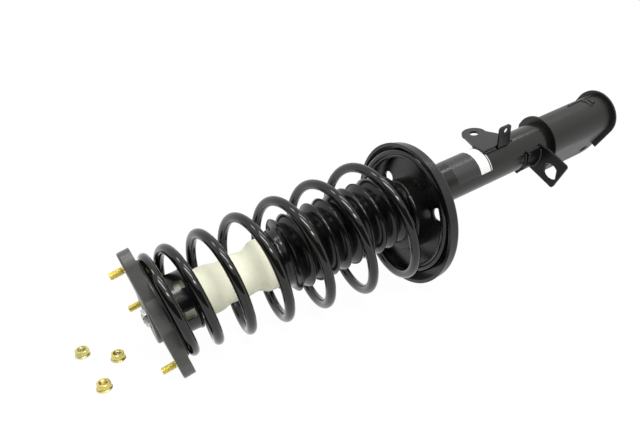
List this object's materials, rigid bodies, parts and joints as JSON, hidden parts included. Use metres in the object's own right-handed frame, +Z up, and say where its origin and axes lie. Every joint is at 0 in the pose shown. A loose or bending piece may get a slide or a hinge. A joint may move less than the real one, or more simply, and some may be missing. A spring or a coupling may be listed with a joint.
{
  "type": "suspension strut assembly",
  "caption": "Complete rear suspension strut with coil spring, upper mount, dust boot, brackets and loose flange nuts.",
  "frame": {"origin": "centre of the upper stud circle, on the mount plate's front face", "axes": "+Z up from the floor that the strut lies on; +X level, from the mount towards the knuckle bracket; +Y away from the hose bracket's side"},
  "size_m": [0.7422, 0.1802, 0.2037],
  "materials": {
    "bare_steel": "machined steel",
    "black_coating": "black powder coat",
    "boot_rubber": "matte black rubber",
    "bush_bronze": "bronze bush",
    "cup_plastic": "black moulded plastic",
    "foam_cream": "cream microcellular foam",
    "hard_chrome": "hard chrome, polished",
    "mount_plate_paint": "satin dark grey coating",
    "ring_plastic": "dark slide ring",
    "seal_rubber": "black rubber",
    "silver_zinc": "silver zinc plating",
    "sintered_steel": "sintered steel",
    "spring_coating": "satin black coating",
    "tube_paint": "gloss black paint",
    "yellow_zinc": "yellow zinc plating"
  },
  "bodies": {
    "damper_tube": {"reserve_tube": "tube_paint", "tube_cap": "bare_steel", "tube_base_cup": "tube_paint", "pressure_tube": "bare_steel", "base_valve_body": "sintered_steel", "base_valve_rivet": "bare_steel", "rod_guide": "sintered_steel", "rod_guide_bush": "bush_bronze", "rod_seal": "seal_rubber", "lower_spring_seat": "black_coating", "knuckle_bracket": "tube_paint", "link_bracket": "black_coating", "sensor_wire_tab": "black_coating", "hose_bracket": "black_coating", "coil_spring": "spring_coating"},
    "rod_and_mount": {"piston_rod": "hard_chrome", "piston": "sintered_steel", "piston_ring": "ring_plastic", "piston_nut": "bare_steel", "rebound_stop": "bare_steel", "rebound_bumper": "seal_rubber", "bump_stop": "foam_cream", "dust_boot": "boot_rubber", "bump_stop_cup": "cup_plastic", "upper_spring_seat": "black_coating", "upper_spring_insulator": "seal_rubber", "mount_plate": "mount_plate_paint", "mount_rubber": "seal_rubber", "mount_sleeve": "bare_steel", "mount_washer_lower": "bare_steel", "mount_washer_upper": "silver_zinc", "rod_nut": "silver_zinc", "mount_studs": "yellow_zinc"},
    "foot_check_plate": {"base_valve_plate": "bare_steel"},
    "piston_check_plate": {"piston_valve_plate": "bare_steel"},
    "floor_nuts": {"loose_flange_nuts": "yellow_zinc"}
  },
  "joints": [
    {"name": "rod_stroke", "type": "slide", "parent": "damper_tube", "child": "rod_and_mount", "axis": [0.9838, 0, 0.1791], "range_m": [0, 0.14], "stiffness_N_per_m": 22000, "springref_m": -0.01818, "deforming": ["coil_spring", "dust_boot", "bump_stop"]},
    {"name": "foot_valve_lift", "type": "slide", "parent": "damper_tube", "child": "foot_check_plate", "axis": [-0.9838, 0, -0.1791], "range_m": [0, 0.0008], "stiffness_N_per_m": 60, "springref_m": -0.002},
    {"name": "piston_valve_lift", "type": "slide", "parent": "rod_and_mount", "child": "piston_check_plate", "axis": [-0.9838, 0, -0.1791], "range_m": [0, 0.0008], "stiffness_N_per_m": 60, "springref_m": -0.002},
    {"name": "nuts_lift", "type": "slide", "parent": "damper_tube", "child": "floor_nuts", "axis": [0, 0, 1], "range_m": [0, 0.025]}
  ]
}
